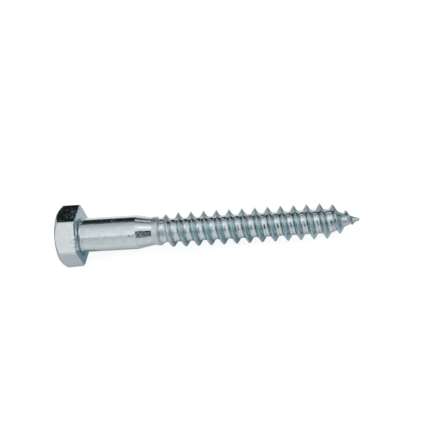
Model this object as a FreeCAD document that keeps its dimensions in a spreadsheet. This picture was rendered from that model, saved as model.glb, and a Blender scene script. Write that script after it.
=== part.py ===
"""Hex head lag screw, one cold formed and thread rolled piece.

Millimetres. The screw is drawn on its own axis: +X runs from the bearing face of the head to the
point, X = 0 is the bearing face, and +Z is square to one flat of the hexagon. It is then laid down
as it comes to rest: on the lower flat's bearing-side edge and on the last full turn of the thread.
"""

import FreeCAD, Part
import Sketcher
import math
import os

V = FreeCAD.Vector
doc = FreeCAD.newDocument("lag_screw")

# ---------------------------------------------------------------- driving dimensions
sheet = doc.addObject("Spreadsheet::Sheet", "dimensions")
CELLS = [
    ("across_flats", 12.85, "hexagon across flats, 13 mm nominal"),
    ("head_height", 5.05, "head height"),
    ("corner_round", 0.6, "radius on the six upright corners"),
    ("chamfer_top_radius", 6.1, "radius of the flat disc on top of the head"),
    ("chamfer_depth", 1.08, "depth of the conical chamfer at the corner circle"),
    ("chamfer_crown", 14.0, "radius of the chamfer's own crown"),
    ("corner_circle", 7.419, "radius of the sharp corners"),
    ("under_break", 0.3, "depth of the corner break at the bearing face"),
    ("under_radius", 7.03, "radius where the corner break starts at the bearing face"),
    ("under_crown", 1.0, "radius of the corner break's own crown"),
    ("shank_radius", 4.0, "plain shank radius"),
    ("shank_fillet", 0.5, "fillet between bearing face and shank"),
    ("shank_end", 13.2, "end of the plain shank"),
    ("neck_start", 16.95, "end of the forming cone"),
    ("neck_radius", 3.33, "radius at the end of the forming cone"),
    ("core_start", 20.2, "start of the full-depth core"),
    ("core_radius", 2.76, "core radius"),
    ("point_start", 58.6, "end of the cylindrical core"),
    ("point_radius", 0.34, "radius of the blunt point"),
    ("screw_length", 65.1, "length under the head"),
    ("pitch", 2.99, "thread pitch, one start, right hand"),
    ("crest_phase", 23.23, "crest position on the reference line"),
    ("phase_angle", -34.6, "angle of the reference line from +Z, degrees"),
    ("crest_radius", 4.06, "thread crest radius"),
    ("crest_land", 0.16, "width of the crest"),
    ("flank_angle", 30.5, "flank half angle, degrees"),
    ("foot_bury", 0.3, "how far the ridge reaches into the core"),
]
for row, (name, value, note) in enumerate(CELLS, start=1):
    sheet.set("A%d" % row, name)
    sheet.set("B%d" % row, "%.4f" % value)
    sheet.set("C%d" % row, note)
    sheet.setAlias("B%d" % row, name)
doc.recompute()


def size(name):
    return float(sheet.get(name))


def plane(body, role):
    for feature in body.Origin.OriginFeatures:
        if feature.Role == role:
            return feature
    raise RuntimeError("no plane " + role)


def closed_profile(sketch, points):
    """Straight closed outline through the points; corners share their ends."""
    n = len(points)
    for i in range(n):
        sketch.addGeometry(
            Part.LineSegment(V(*points[i], 0), V(*points[(i + 1) % n], 0)), False
        )
    for i in range(n):
        sketch.addConstraint(
            Sketcher.Constraint("Coincident", i, 2, (i + 1) % n, 1)
        )


def dim(sketch, kind, args, value, expression):
    index = sketch.addConstraint(Sketcher.Constraint(kind, *args, value))
    sketch.setExpression("Constraints[%d]" % index, expression)
    return index


S = "dimensions."

# ---------------------------------------------------------------- blank: head, shank, core, point
blank = doc.addObject("PartDesign::Body", "blank")
blank.Label = "blank"

# Hexagon: six equal sides on one circle, one pair of sides square to the sketch's upright axis.
hexagon = blank.newObject("Sketcher::SketchObject", "hexagon")
hexagon.AttachmentSupport = [(plane(blank, "YZ_Plane"), "")]
hexagon.MapMode = "FlatFace"
corner = size("corner_circle")
ring = [
    (corner * math.cos(math.radians(60 * i)), corner * math.sin(math.radians(60 * i)))
    for i in range(6)
]
closed_profile(hexagon, ring)
hexagon.addGeometry(Part.Circle(V(0, 0, 0), V(0, 0, 1), corner), True)
hexagon.addConstraint(Sketcher.Constraint("Coincident", 6, 3, -1, 1))
for i in range(6):
    hexagon.addConstraint(Sketcher.Constraint("PointOnObject", i, 1, 6))
for i in range(1, 6):
    hexagon.addConstraint(Sketcher.Constraint("Equal", 0, i))
hexagon.addConstraint(Sketcher.Constraint("Horizontal", 1))
dim(hexagon, "Radius", (6,), corner, S + "across_flats / 2 / cos(30)")

head = blank.newObject("PartDesign::Pad", "head")
head.Profile = hexagon
head.setExpression("Length", S + "head_height")
head.Reversed = True
doc.recompute()
if head.Shape.BoundBox.XMax > 1e-3:
    raise RuntimeError("head padded the wrong way")

# Upright corners, slightly rounded as the forming die leaves them.
upright = []
for i, edge in enumerate(head.Shape.Edges, start=1):
    a, b = edge.Vertexes[0].Point, edge.Vertexes[-1].Point
    if abs(abs(a.x - b.x) - size("head_height")) < 1e-3:
        upright.append("Edge%d" % i)
if len(upright) != 6:
    raise RuntimeError("expected six upright corners, found %d" % len(upright))
corners = blank.newObject("PartDesign::Fillet", "corners")
corners.Base = (head, upright)
corners.setExpression("Radius", S + "corner_round")
doc.recompute()

# Chamfer on top of the head, very slightly crowned: it leaves the round disc and the scallops
# on the flats. The same kind of cut, much smaller, breaks the corners at the bearing face.


def corner_cut(name, first, second, bulge, expressions):
    """Groove outside the arc from first to second; each is (distance from X = 0, radius)."""
    sketch = blank.newObject("Sketcher::SketchObject", name + "_profile")
    sketch.AttachmentSupport = [(plane(blank, "XZ_Plane"), "")]
    sketch.MapMode = "FlatFace"
    (x1, r1), (x2, r2) = first, second
    side = -1.0 if x1 < x2 else 1.0  # which way the cut opens off the end of the head
    chord = math.hypot(x2 - x1, r2 - r1)
    half_turn = math.asin(chord / 2 / bulge)
    sag = bulge * (1 - math.cos(half_turn))
    nx, ny = -(r2 - r1) / chord * -side, (x2 - x1) / chord * -side
    if ny < 0:
        nx, ny = -nx, -ny
    cx = (x1 + x2) / 2 - nx * (bulge - sag)
    cy = (r1 + r2) / 2 - ny * (bulge - sag)
    turn_1, turn_2 = math.atan2(r1 - cy, x1 - cx), math.atan2(r2 - cy, x2 - cx)
    # The arc is stored anticlockwise, from the lesser angle to the greater.
    sketch.addGeometry(
        Part.ArcOfCircle(
            Part.Circle(V(cx, cy, 0), V(0, 0, 1), bulge), min(turn_1, turn_2), max(turn_1, turn_2)
        ),
        False,
    )
    begin, finish = (1, 2) if turn_1 < turn_2 else (2, 1)
    ring = [(x2, r2), (x2, r2 + 1), (x1 + side, r2 + 1), (x1 + side, r1), (x1, r1)]
    for p, q in zip(ring, ring[1:]):
        sketch.addGeometry(Part.LineSegment(V(*p, 0), V(*q, 0)), False)
    sketch.addConstraint(Sketcher.Constraint("Coincident", 0, finish, 1, 1))
    for i in (1, 2, 3):
        sketch.addConstraint(Sketcher.Constraint("Coincident", i, 2, i + 1, 1))
    sketch.addConstraint(Sketcher.Constraint("Coincident", 4, 2, 0, begin))
    for i, way in ((1, "Vertical"), (2, "Horizontal"), (3, "Vertical"), (4, "Horizontal")):
        sketch.addConstraint(Sketcher.Constraint(way, i))
    dim(sketch, "Radius", (0,), bulge, expressions["bulge"])
    # A distance of nothing is a point on the upright axis.
    if abs(x1) < 1e-9:
        sketch.addConstraint(Sketcher.Constraint("PointOnObject", 0, begin, -2))
    else:
        dim(sketch, "DistanceX", (0, begin, -1, 1), -x1, expressions["x1"])
    dim(sketch, "DistanceX", (0, finish, -1, 1), -x2, expressions["x2"])
    dim(sketch, "DistanceY", (-1, 1, 0, begin), r1, expressions["r1"])
    dim(sketch, "DistanceY", (-1, 1, 0, finish), r2, expressions["r2"])
    dim(sketch, "DistanceY", (1, 1, 1, 2), 1.0, "1")
    if side < 0:
        dim(sketch, "DistanceX", (4, 1, 4, 2), 1.0, "1")
    else:
        dim(sketch, "DistanceX", (4, 2, 4, 1), 1.0, "1")
    before = blank.Shape.Volume
    groove = blank.newObject("PartDesign::Groove", name)
    groove.Profile = sketch
    groove.ReferenceAxis = (sketch, ["H_Axis"])
    groove.Angle = 360.0
    doc.recompute()
    if not groove.Shape.Volume < before - 0.05:
        raise RuntimeError(name + " removed nothing")
    print(name, "removed %.2f mm3" % (before - groove.Shape.Volume))
    return groove


kh, rt, cd, rc = (
    size("head_height"), size("chamfer_top_radius"), size("chamfer_depth"), size("corner_circle"),
)
chamfer = corner_cut(
    "chamfer", (-kh, rt), (-kh + cd, rc), size("chamfer_crown"),
    {
        "bulge": S + "chamfer_crown", "x1": S + "head_height",
        "x2": S + "head_height - " + S + "chamfer_depth",
        "r1": S + "chamfer_top_radius", "r2": S + "corner_circle",
    },
)
corner_break = corner_cut(
    "corner_break", (0.0, size("under_radius")), (-size("under_break"), rc), size("under_crown"),
    {
        "bulge": S + "under_crown", "x1": "0", "x2": S + "under_break",
        "r1": S + "under_radius", "r2": S + "corner_circle",
    },
)

# Plain shank, forming cone, threaded core and point, turned about the axis.
turned = blank.newObject("Sketcher::SketchObject", "shank_profile")
turned.AttachmentSupport = [(plane(blank, "XZ_Plane"), "")]
turned.MapMode = "FlatFace"
fr, sr = size("shank_fillet"), size("shank_radius")
stations = [
    ("shank_end", "shank_radius"),
    ("neck_start", "neck_radius"),
    ("core_start", "core_radius"),
    ("point_start", "core_radius"),
    ("screw_length", "point_radius"),
]
inside = 1.0  # the shank is rooted this far inside the head
outline = [(-inside, 0.0), (-inside, sr + fr), (0.0, sr + fr), (fr, sr)]
outline += [(size(a), size(b)) for a, b in stations]
outline += [(size("screw_length"), 0.0)]
n = len(outline)
for i in range(n):
    p, q = outline[i], outline[(i + 1) % n]
    if i == 2:
        mid = (fr - fr * math.sin(math.radians(45)), sr + fr - fr * math.sin(math.radians(45)))
        turned.addGeometry(
            Part.Arc(V(*p, 0), V(*mid, 0), V(*q, 0)), False
        )
    else:
        turned.addGeometry(Part.LineSegment(V(*p, 0), V(*q, 0)), False)
# An arc is stored anticlockwise, so which of its ends meets the bearing face is read from it.
arc = turned.Geometry[2]
arc_start_is_first = (
    math.hypot(arc.StartPoint.x - outline[2][0], arc.StartPoint.y - outline[2][1]) < 1e-6
)
first, last = (1, 2) if arc_start_is_first else (2, 1)
for i in range(n):
    j = (i + 1) % n
    turned.addConstraint(
        Sketcher.Constraint(
            "Coincident", i, last if i == 2 else 2, j, first if j == 2 else 1
        )
    )
turned.addConstraint(Sketcher.Constraint("PointOnObject", 0, 1, -1))
turned.addConstraint(Sketcher.Constraint("Vertical", 0))
turned.addConstraint(Sketcher.Constraint("Horizontal", 1))
turned.addConstraint(Sketcher.Constraint("Horizontal", 3))
turned.addConstraint(Sketcher.Constraint("Horizontal", 6))
turned.addConstraint(Sketcher.Constraint("Vertical", n - 2))
turned.addConstraint(Sketcher.Constraint("Horizontal", n - 1))
turned.addConstraint(Sketcher.Constraint("PointOnObject", 2, first, -2))
turned.addConstraint(Sketcher.Constraint("Vertical", 2, 3, 2, last))
turned.addConstraint(Sketcher.Constraint("Horizontal", 2, 3, 2, first))
dim(turned, "DistanceX", (0, 1, -1, 1), inside, "1")
dim(turned, "Radius", (2,), fr, S + "shank_fillet")
dim(turned, "DistanceY", (-1, 1, 2, last), sr, S + "shank_radius")
for k, (a, b) in enumerate(stations):
    line = 3 + k
    dim(turned, "DistanceX", (-1, 1, line, 2), size(a), S + a)
    if a not in ("shank_end", "point_start"):
        dim(turned, "DistanceY", (-1, 1, line, 2), size(b), S + b)
shank = blank.newObject("PartDesign::Revolution", "shank")
shank.Profile = turned
shank.ReferenceAxis = (turned, ["H_Axis"])
shank.Angle = 360.0
doc.recompute()
if not shank.Shape.Volume > corner_break.Shape.Volume + 1500.0:
    raise RuntimeError("the shank was not added")

# ---------------------------------------------------------------- thread ridge
# One ridge wound right-handed round the core. Every section lies in a plane through the axis:
# a narrow crest, two straight flanks and a foot buried in the core. The crest rises out of the
# neck over the first two turns, stays full to the start of the point and tapers along the point.
P = size("pitch")
CREST = [
    (16.6, 2.55), (17.5, 2.95), (18.7, 3.50), (20.2, 3.81), (21.7, 3.98), (23.2, 4.04),
    (26.2, 4.06), (56.5, 4.10), (58.3, 4.06), (59.3, 3.75), (60.6, 3.08), (62.1, 2.32),
    (63.6, 1.28), (64.4, 0.72), (65.0, 0.22),
]
crest_scale = size("crest_radius") / 4.06


def smooth_table(table, x):
    """Monotone cubic through the table's stations."""
    xs = [p[0] for p in table]
    ys = [p[1] for p in table]
    if x <= xs[0]:
        return ys[0]
    if x >= xs[-1]:
        return ys[-1]
    d = [(ys[i + 1] - ys[i]) / (xs[i + 1] - xs[i]) for i in range(len(xs) - 1)]
    m = [d[0]] + [0.0 if d[i - 1] * d[i] <= 0 else 2 * d[i - 1] * d[i] / (d[i - 1] + d[i]) for i in range(1, len(d))] + [d[-1]]
    i = max(k for k in range(len(xs) - 1) if xs[k] <= x)
    w = xs[i + 1] - xs[i]
    t = (x - xs[i]) / w
    return (
        (2 * t**3 - 3 * t**2 + 1) * ys[i] + (t**3 - 2 * t**2 + t) * w * m[i]
        + (-2 * t**3 + 3 * t**2) * ys[i + 1] + (t**3 - t**2) * w * m[i + 1]
    )


def core_at(x):
    pts = [(size(a), size(b)) for a, b in stations]
    if x <= pts[0][0]:
        return pts[0][1]
    for (x0, r0), (x1, r1) in zip(pts, pts[1:]):
        if x <= x1:
            return r0 + (r1 - r0) * (x - x0) / (x1 - x0)
    return pts[-1][1]


def section(angle):
    """Four corners of the ridge's section at this angle (degrees, from +Z towards -Y)."""
    x = size("crest_phase") + P * (angle - size("phase_angle")) / 360.0
    crest = smooth_table(CREST, x) * crest_scale
    half = size("crest_land") / 2
    foot = max(0.12, min(core_at(x - 0.6), core_at(x), core_at(x + 0.6)) - size("foot_bury"))
    foot = min(foot, crest - 0.1)
    spread = half + (crest - foot) * math.tan(math.radians(size("flank_angle")))
    a = math.radians(angle)
    y, z = -math.sin(a), math.cos(a)
    return [
        V(x - spread, foot * y, foot * z),
        V(x - half, crest * y, crest * z),
        V(x + half, crest * y, crest * z),
        V(x + spread, foot * y, foot * z),
    ]


def angle_at(x):
    return (x - size("crest_phase")) / P * 360.0 + size("phase_angle")


STEP = 15.0
begin = math.floor(angle_at(CREST[0][0]) / STEP) * STEP
end = math.ceil(angle_at(64.75) / STEP) * STEP
count = int(round((end - begin) / STEP))
angles = [begin + STEP * i for i in range(count + 1)]
corner_lines = []
for k in range(4):
    curve = Part.BSplineCurve()
    curve.interpolate(Points=[section(a)[k] for a in angles], Parameters=angles)
    corner_lines.append(curve)
per_span = 24
cuts = angles[::per_span]
if cuts[-1] != angles[-1]:
    cuts.append(angles[-1])
faces = []
for a0, a1 in zip(cuts, cuts[1:]):
    edges = [c.toShape(a0, a1) for c in corner_lines]
    for k in range(4):
        faces.append(Part.makeRuledSurface(edges[k], edges[(k + 1) % 4]))
for a in (angles[0], angles[-1]):
    p = [c.value(a) for c in corner_lines]
    faces.append(Part.Face(Part.makePolygon(p + [p[0]])))
shell = Part.makeShell(faces)
shell.sewShape()
if shell.ShapeType != "Shell":
    shell = shell.Shells[0]
solid = Part.makeSolid(shell)
if solid.Volume < 0:
    solid.reverse()
ridge = doc.addObject("Part::Feature", "thread_ridge")
ridge.Label = "thread_ridge"
ridge.Shape = solid
print("ridge valid", solid.isValid(), "volume %.1f" % solid.Volume, "faces", len(solid.Faces))

# ---------------------------------------------------------------- the finished screw
screw = doc.addObject("Part::Fuse", "lag_screw")
screw.Base = blank
screw.Tool = ridge
screw.Label = "lag_screw_solid"
doc.recompute()

# Rest: the lower flat's edge at the bearing face and the last full crest under the axis both
# touch the floor, so the point dips by a few degrees.
turns = math.floor((58.3 - size("crest_phase")) / P - (180.0 - size("phase_angle")) / 360.0)
contact_x = size("crest_phase") + P * (turns + (180.0 - size("phase_angle")) / 360.0)
contact_r = smooth_table(CREST, contact_x) * crest_scale
half_flats = size("across_flats") / 2
# The corner break is nil along the middle of a flat, so the flat's edge is at X = 0.
dip = math.degrees(math.atan2(half_flats - contact_r, contact_x))
turn = FreeCAD.Placement(V(0, 0, 0), FreeCAD.Rotation(V(0, 1, 0), dip))
laid = screw.Shape.copy()
laid.Placement = turn.multiply(laid.Placement)
box = laid.optimalBoundingBox(False, False)
screw.Placement = FreeCAD.Placement(
    V(-(box.XMin + box.XMax) / 2, 0, -box.ZMin), FreeCAD.Rotation(V(0, 1, 0), dip)
)
doc.recompute()
print("dip %.6f  contact x %.3f r %.3f" % (dip, contact_x, contact_r))
print("shift x %.6f  lift z %.6f" % (screw.Placement.Base.x, screw.Placement.Base.z))
fb = screw.Shape.optimalBoundingBox(False, False)
print("box", [round(c, 3) for c in (fb.XMin, fb.YMin, fb.ZMin, fb.XMax, fb.YMax, fb.ZMax)])

# ---------------------------------------------------------------- checks and output
for obj in doc.Objects:
    for state in obj.State:
        if state in ("Invalid", "Error"):
            raise RuntimeError("%s is %s" % (obj.Name, state))
parts = {"lag_screw": screw}
for name, obj in parts.items():
    shape = obj.Shape
    if shape.isNull() or not shape.isValid() or len(shape.Solids) != 1:
        raise RuntimeError("%s has no single valid solid" % name)
    print(name, "volume %.1f mm3" % shape.Volume, "faces", len(shape.Faces))
    print("mass at 7.85 g/cm3: %.2f g" % (shape.Volume * 7.85e-3))
print("blank volume %.1f" % blank.Shape.Volume)

os.makedirs("parts", exist_ok=True)
for name, obj in parts.items():
    obj.Shape.exportStep("parts/%s.step" % name)
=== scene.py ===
"""Looks of the hex head lag screw: one detailed mesh in bright zinc, a pale floor and soft light."""

import math

import bpy
import numpy as np
from mathutils import Matrix, Vector


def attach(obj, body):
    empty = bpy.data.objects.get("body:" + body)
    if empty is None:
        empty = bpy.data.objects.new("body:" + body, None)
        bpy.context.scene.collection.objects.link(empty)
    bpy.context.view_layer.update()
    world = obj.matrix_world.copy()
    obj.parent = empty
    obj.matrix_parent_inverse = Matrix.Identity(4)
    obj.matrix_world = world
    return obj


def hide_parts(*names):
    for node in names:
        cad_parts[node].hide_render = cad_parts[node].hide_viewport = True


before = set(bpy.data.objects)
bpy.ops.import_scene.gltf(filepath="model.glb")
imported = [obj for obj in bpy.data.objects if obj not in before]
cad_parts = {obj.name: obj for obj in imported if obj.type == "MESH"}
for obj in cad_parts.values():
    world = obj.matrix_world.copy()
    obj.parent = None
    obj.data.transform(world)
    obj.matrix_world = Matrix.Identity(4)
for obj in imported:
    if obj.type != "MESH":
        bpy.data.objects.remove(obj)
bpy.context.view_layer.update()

# --------------------------------------------------------------------------------------------
# Lengths below are in millimetres on the screw's own axis: x from the bearing face to the point,
# and an angle about the axis from the upper flat's normal towards the camera side (-Y).
# --------------------------------------------------------------------------------------------
DIP = math.radians(2.324103)
SHIFT_X, LIFT = -29.883512, 6.422961

K = 5.05             # head height
FLATS = 12.85        # across flats
CORNER_R = 0.6       # upright corners
DISC_R = 6.1         # flat disc on top of the head
CHAMFER = 1.08       # depth of the chamfer at the sharp corner circle
CORNER_CIRCLE = 7.419
SHANK_R = 4.0
LENGTH = 65.1
PITCH = 2.99
CREST_X, CREST_ANGLE = 23.23, -34.6

rng = np.random.RandomState(8)


def to_world(points):
    """Screw frame in millimetres to the part's frame in metres."""
    x, y, z = points[:, 0], points[:, 1], points[:, 2]
    c, s = math.cos(DIP), math.sin(DIP)
    return np.stack([x * c + z * s + SHIFT_X, y, -x * s + z * c + LIFT], axis=1) / 1000.0


# ---------------------------------------------------------------- smooth one-dimensional helpers
def table(x, stations):
    """Monotone cubic through (x, value) stations, for arrays."""
    xs = np.array([p[0] for p in stations], float)
    ys = np.array([p[1] for p in stations], float)
    d = np.diff(ys) / np.diff(xs)
    m = np.empty_like(ys)
    m[0], m[-1] = d[0], d[-1]
    for i in range(1, len(d)):
        m[i] = 0.0 if d[i - 1] * d[i] <= 0 else 2 * d[i - 1] * d[i] / (d[i - 1] + d[i])
    x = np.clip(np.asarray(x, float), xs[0], xs[-1])
    i = np.clip(np.searchsorted(xs, x, side="right") - 1, 0, len(xs) - 2)
    w = xs[i + 1] - xs[i]
    t = (x - xs[i]) / w
    return (
        (2 * t**3 - 3 * t**2 + 1) * ys[i] + (t**3 - 2 * t**2 + t) * w * m[i]
        + (-2 * t**3 + 3 * t**2) * ys[i + 1] + (t**3 - t**2) * w * m[i + 1]
    )


def smooth_max(a, b, soft):
    return 0.5 * (a + b + np.sqrt((a - b) ** 2 + soft**2))


def smooth_min(a, b, soft):
    return 0.5 * (a + b - np.sqrt((a - b) ** 2 + soft**2))


def step(x, a, b):
    t = np.clip((np.asarray(x, float) - a) / (b - a), 0.0, 1.0)
    return t * t * (3 - 2 * t)


def wobble(u, v, seed, octaves=3, base=1.0, period=None):
    """Smooth noise of two coordinates, about -1 to 1; with period, it repeats in v."""
    r = np.random.RandomState(seed)
    total = np.zeros(np.broadcast(u, v).shape)
    weight = 0.0
    for o in range(octaves):
        f = base * 2**o
        amp = 0.6**o
        for _ in range(5):
            a = r.uniform(-1, 1) * f
            if period is None:
                b = r.uniform(-1, 1) * f
            else:
                b = r.randint(-max(1, int(round(f))), max(1, int(round(f))) + 1)
            total = total + amp * np.sin(a * u + b * v + r.uniform(0, 2 * math.pi))
        weight += amp * 5**0.5
    return total / weight


# ---------------------------------------------------------------- blank radius along the axis
BODY = [
    (0.0, 4.0), (13.45, 3.99), (17.1, 3.283), (17.8, 3.07), (19.5, 3.02), (20.2, 2.74),
    (21.5, 2.76), (58.6, 2.76), (62.0, 1.41), (64.3, 0.50), (65.1, 0.33), (66.0, 0.005),
]
EASING = [(-0.20, 0.10), (-0.10, 0.22), (0.0, 0.36), (0.10, 0.22), (0.20, 0.10)]


def blank_radius(x):
    """Shank, forming cone, neck, core and point, with the changes of slope eased."""
    x = np.asarray(x, float)
    xs = [p[0] for p in BODY]
    rs = [p[1] for p in BODY]
    return sum(w * np.interp(x + d, xs, rs) for d, w in EASING)


CREST = [
    (15.4, 3.10), (16.1, 3.26), (16.7, 3.38), (17.4, 3.41), (18.2, 3.42), (19.0, 3.45),
    (20.2, 3.81), (21.7, 3.94), (23.2, 4.00), (26.2, 4.03), (56.5, 4.07), (58.3, 4.04),
    (59.3, 3.75), (60.6, 3.08), (62.1, 2.26), (63.6, 1.10), (64.4, 0.56), (65.0, 0.20),
]
FLANK = math.tan(math.radians(30.5))


def upper(turn_deg):
    """1 on the side that was up in the rolls, 0 opposite: the ridge is a little taller there."""
    return 0.5 + 0.5 * np.cos(np.radians(turn_deg + 34.0))


def crest_centre(turn_deg):
    """Place of the crest along the axis for an unwound angle, with a slight drunken error."""
    return CREST_X + PITCH * (turn_deg - CREST_ANGLE) / 360.0 - 0.03 * (1 - upper(turn_deg))


def thread_radius(x, turn_deg):
    """Radius at x for the unwound angle of the nearest crest's own turn (arrays)."""
    centre = crest_centre(turn_deg)
    s = x - centre
    crest = table(centre, CREST) + 0.17 * upper(turn_deg) * step(centre, 20.2, 22.5) * step(-centre, -62, -57)
    # Rolled crests are never quite even.
    crest = crest + 0.018 * wobble(turn_deg / 57.3, 0 * turn_deg, 11, 3, 1.3) * step(centre, 19, 23)
    land = 0.05 + 0.09 * (1 - upper(turn_deg)) + 0.20 * step(-centre, -23.5, -19.5)
    ridge = crest - (np.sqrt(s * s + land * land) - land) / FLANK
    core = blank_radius(x)
    soft = 0.10 + 0.06 * np.clip((crest - core) / 1.3, 0, 1)
    full = smooth_max(ridge, core, soft)
    # Where it starts on the neck the ridge is a low collar that fades into the cone behind it, and
    # that swings towards the point on its upper side.
    t = s - 0.75 * step(-turn_deg, 590.0, 750.0)
    behind = smooth_max(crest - 0.15 * t * t, core, 0.08)
    ahead = core + np.maximum(crest - core, 0.0) * np.exp(-(np.maximum(t, 0.0) / 0.50) ** 3)
    collar = np.where(t < 0, behind, np.maximum(ahead, core))
    collar_here = 1 - step(centre, 18.9, 20.3)
    return full * (1 - collar_here) + collar * collar_here


# ---------------------------------------------------------------- head outline
def corner_offset(deg):
    """Angle from the nearest upright corner, 0 to 30 degrees (corners at 30, 90, ...)."""
    return np.abs((np.asarray(deg, float) - 30.0 + 30.0) % 60.0 - 30.0)


def hexagon_radius(deg):
    d = np.radians(corner_offset(deg))
    a = FLATS / 2
    centre = (a - CORNER_R) / math.cos(math.radians(30))
    tangent = math.atan2(
        CORNER_R * 0.5, centre + CORNER_R * math.cos(math.radians(30))
    )
    arc = centre * np.cos(d) + np.sqrt(np.maximum(CORNER_R**2 - (centre * np.sin(d)) ** 2, 0))
    flat = a / np.cos(math.radians(30) - d)
    return np.where(d <= tangent, arc, flat)


# ---------------------------------------------------------------- head and shank grid
FINE = 432
half = [0.0]
for _ in range(5):
    half.append(half[-1] + 0.474)
for k in range(31):
    half.append(half[-1] + 0.62 + 0.0175 * k)
half = np.array(half) * 30.0 / half[-1]
sector = np.concatenate([half[:-1], 60.0 - half[:0:-1]])
fine_deg = 30.0 + np.concatenate([sector + 60.0 * k for k in range(6)])
even_deg = 30.0 + np.arange(FINE) * (360.0 / FINE)

hexr = hexagon_radius(fine_deg)
near_corner = 1 - step(corner_offset(fine_deg), 0.0, 7.0)
chamfer_x = -K + (hexr - DISC_R) * CHAMFER / (CORNER_CIRCLE - DISC_R)

# Profile corners at every angle: (x, r, rounding). The bearing edge is rounder at the corners.
off_low = np.abs((fine_deg - 150.0 + 180.0) % 360.0 - 180.0)
low_corner = 1 - step(off_low, 0.0, 14.0)
fuller = np.clip(1 - off_low / 60.0, 0.0, 1.0)
edge_round = 0.13 + near_corner * (0.22 + 0.15 * low_corner)
profile = [
    (np.full(FINE, -K), np.full(FINE, DISC_R), np.full(FINE, 0.22)),
    (chamfer_x, hexr, np.full(FINE, 0.12)),
    (np.zeros(FINE), hexr, edge_round),
    (np.zeros(FINE), np.full(FINE, SHANK_R), np.full(FINE, 0.52)),
]
start = (np.full(FINE, -K), np.zeros(FINE))
finish = (np.full(FINE, 3.0), np.full(FINE, SHANK_R))


def rounded(prev, here, nxt, radius, n):
    """n + 1 points of the arc that rounds the corner at here."""
    a = np.stack([prev[0] - here[0], prev[1] - here[1]])
    b = np.stack([nxt[0] - here[0], nxt[1] - here[1]])
    a = a / np.linalg.norm(a, axis=0)
    b = b / np.linalg.norm(b, axis=0)
    inner = np.arccos(np.clip((a * b).sum(0), -1, 1))
    reach = radius / np.tan(inner / 2)
    p = np.stack(here) + a * reach
    q = np.stack(here) + b * reach
    bis = (a + b) / np.linalg.norm(a + b, axis=0)
    centre = np.stack(here) + bis * (radius / np.sin(inner / 2))
    u, v = p - centre, q - centre
    total = math.pi - inner
    out = []
    for k in range(n + 1):
        t = k / n
        w0 = np.sin((1 - t) * total) / np.sin(total)
        w1 = np.sin(t * total) / np.sin(total)
        out.append(centre + w0 * u + w1 * v)
    return out


rows = []  # each row: (x array, r array, is the angle evened out)


def between(p, q, ts):
    for t in ts:
        rows.append(p + (q - p) * t)


corner_pts = [(c[0], c[1]) for c in profile]
arcs = []
chain = [start] + corner_pts + [finish]
for i, (cx, cr, rad) in enumerate(profile):
    arcs.append(rounded(chain[i], chain[i + 1], chain[i + 2], rad, (4, 4, 5, 8)[i]))

disc = np.array([0.06, 0.14, 0.24, 0.36, 0.5, 0.64, 0.76, 0.86, 0.94])
first = np.stack(start)
between(first, arcs[0][0], disc)
rows += arcs[0]
between(arcs[0][-1], arcs[1][0], [0.33, 0.67])
rows += arcs[1]
between(arcs[1][-1], arcs[2][0], [0.10, 0.24, 0.38, 0.52, 0.64, 0.74, 0.82, 0.88, 0.92, 0.95, 0.975])
rows += arcs[2]
between(arcs[2][-1], arcs[3][0], [0.06, 0.14, 0.26, 0.4, 0.55, 0.7, 0.84, 0.94])
rows += arcs[3]
HEAD_ROWS = len(rows)
last = arcs[3][-1]
for x in (0.8, 1.2, 1.8, 2.6, 3.6, 4.8):
    rows.append(np.stack([np.full(FINE, x), np.full(FINE, SHANK_R)]))

deg_rows = []
for i, row in enumerate(rows):
    t = step(i, HEAD_ROWS - 1, len(rows) - 1)
    deg_rows.append(fine_deg * (1 - t) + even_deg * t)

# Unevenness of the head: flats a hair hollow and rolled, a few small nicks along the
# bearing-side edge of the flat that faces the camera.
NICKS = [  # angle, x, depth, angular width, width along the axis
    (34.6, -0.04, 0.06, 0.9, 0.12), (37.9, -0.06, 0.08, 0.8, 0.13), (40.6, -0.03, 0.06, 0.8, 0.12),
    (43.9, -0.07, 0.09, 0.9, 0.14), (46.9, -0.04, 0.07, 0.8, 0.12), (50.3, -0.06, 0.09, 0.9, 0.13),
    (53.0, -0.03, 0.07, 0.8, 0.12), (56.2, -0.05, 0.06, 0.8, 0.12), (61.9, -0.03, 0.07, 1.0, 0.13),
    (64.6, -0.24, 0.17, 1.2, 0.20), (67.3, -0.08, 0.07, 0.9, 0.13), (71.6, -0.16, 0.13, 1.1, 0.18),
    (74.6, -0.03, 0.06, 0.8, 0.12), (78.6, -0.08, 0.16, 1.2, 0.17), (82.4, -0.04, 0.05, 0.9, 0.12),
    (112.0, -0.06, 0.05, 1.2, 0.14), (139.0, -0.05, 0.06, 1.0, 0.14), (171.0, -0.08, 0.07, 1.2, 0.2),
    (204.0, -0.10, 0.05, 1.0, 0.2), (233.0, -0.05, 0.06, 1.1, 0.14), (262.0, -0.06, 0.08, 1.1, 0.18),
    (291.0, -0.05, 0.05, 0.9, 0.14), (318.0, -0.10, 0.05, 1.2, 0.2), (4.0, -0.08, 0.05, 1.3, 0.18),
    (340.0, -0.06, 0.06, 1.0, 0.15),
]

verts = []
faces = []


def add_ring(x, r, deg):
    a = np.radians(deg)
    base = sum(len(v) for v in verts)
    verts.append(np.stack([x, -r * np.sin(a), r * np.cos(a)], axis=1))
    return np.arange(base, base + len(x))


def stitch(a, b):
    """Quads between two closed rings of the same count."""
    n = len(a)
    for i in range(n):
        j = (i + 1) % n
        faces.append((int(a[i]), int(a[j]), int(b[j]), int(b[i])))


def add_point(p):
    base = sum(len(v) for v in verts)
    verts.append(np.array([p], float))
    return base


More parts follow.
